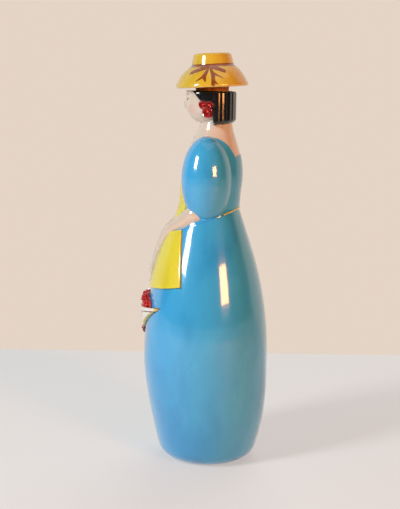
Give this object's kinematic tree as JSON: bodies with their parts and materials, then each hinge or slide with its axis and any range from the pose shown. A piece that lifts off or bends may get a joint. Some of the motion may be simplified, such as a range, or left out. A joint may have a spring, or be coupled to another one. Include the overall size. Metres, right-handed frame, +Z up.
{
  "type": "figural liquor decanter",
  "caption": "Hollow glazed ceramic decanter in the form of a standing lady in a long skirt, with a bouquet in front and a hat that lifts off as a corked stopper.",
  "frame": {"origin": "on the floor under the flat foot, on the plane that halves the figure", "axes": "+Z up along the figure, -Y the way the face looks, +X towards the figure's left arm"},
  "size_m": [0.082, 0.0846, 0.266],
  "materials": {
    "blue_glaze": "gloss",
    "skin_glaze": "gloss",
    "yellow_glaze": "gloss",
    "black_glaze": "gloss",
    "red_glaze": "gloss",
    "white_glaze": "gloss",
    "cork": "matte"
  },
  "bodies": {
    "bottle": {"skirt_vessel": "blue_glaze", "bodice_shell": "blue_glaze", "head_and_neck": "skin_glaze", "left_sleeve": "blue_glaze", "right_sleeve": "blue_glaze", "left_forearm": "skin_glaze", "right_forearm": "skin_glaze", "apron_panel": "yellow_glaze", "bodice_front": "yellow_glaze", "waist_cord": "yellow_glaze", "hair_bob": "black_glaze", "left_ear_flowers": "red_glaze", "right_ear_flowers": "red_glaze", "bouquet_paper": "white_glaze", "bouquet_flowers": "red_glaze", "bouquet_knot": "red_glaze"},
    "stopper": {"hat_stopper": "yellow_glaze", "cork_sleeve": "cork"}
  },
  "joints": [
    {"name": "stopper_lift", "type": "slide", "parent": "bottle", "child": "stopper", "axis": [0, 0, 1], "range_m": [0, 0.08]}
  ]
}
